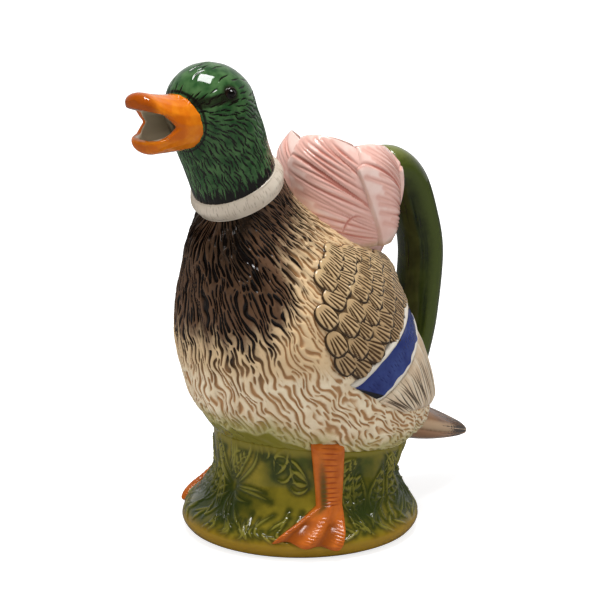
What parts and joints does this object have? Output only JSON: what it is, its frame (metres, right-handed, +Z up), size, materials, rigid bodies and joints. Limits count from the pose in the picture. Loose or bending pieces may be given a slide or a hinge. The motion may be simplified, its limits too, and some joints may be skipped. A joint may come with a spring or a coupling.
{
  "type": "figural jug",
  "caption": "Glazed earthenware jug shaped as a standing duck: it fills through a flower on its back, is held by the flower's stem and pours from its open bill.",
  "frame": {"origin": "middle of the mound's flat underside, on the surface that the jug stands on", "axes": "+Z up, -Y the way the duck faces and pours, +X its left side"},
  "size_m": [0.1256, 0.2329, 0.2468],
  "materials": {
    "olive_glaze": "glossy transparent olive glaze",
    "feather_glaze": "glossy glaze, brown to ivory",
    "white_glaze": "glossy white glaze",
    "green_glaze": "glossy dark green glaze",
    "orange_glaze": "glossy orange glaze",
    "eye_glaze": "glossy black glaze",
    "pink_glaze": "glossy pink glaze",
    "petal_glaze": "glossy pink glaze",
    "stem_glaze": "glossy dark olive glaze",
    "covert_glaze": "glossy brown glaze",
    "blue_glaze": "glossy blue glaze",
    "flight_glaze": "glossy grey-brown glaze",
    "tail_glaze": "glossy grey-brown glaze",
    "leg_glaze": "glossy orange-brown glaze"
  },
  "bodies": {
    "root": {"plinth": "olive_glaze", "body_shell": "feather_glaze", "neck_ring": "white_glaze", "head_shell": "green_glaze", "upper_bill": "orange_glaze", "lower_bill": "orange_glaze", "left_eye": "eye_glaze", "right_eye": "eye_glaze", "flower_funnel": "pink_glaze", "petal_1": "petal_glaze", "petal_2": "petal_glaze", "petal_3": "petal_glaze", "petal_4": "petal_glaze", "petal_5": "petal_glaze", "handle": "stem_glaze", "left_wing_coverts": "covert_glaze", "left_speculum": "blue_glaze", "left_flight_feathers": "flight_glaze", "right_wing_coverts": "covert_glaze", "right_speculum": "blue_glaze", "right_flight_feathers": "flight_glaze", "tail": "tail_glaze", "left_leg": "leg_glaze", "right_leg": "leg_glaze"}
  },
  "joints": []
}
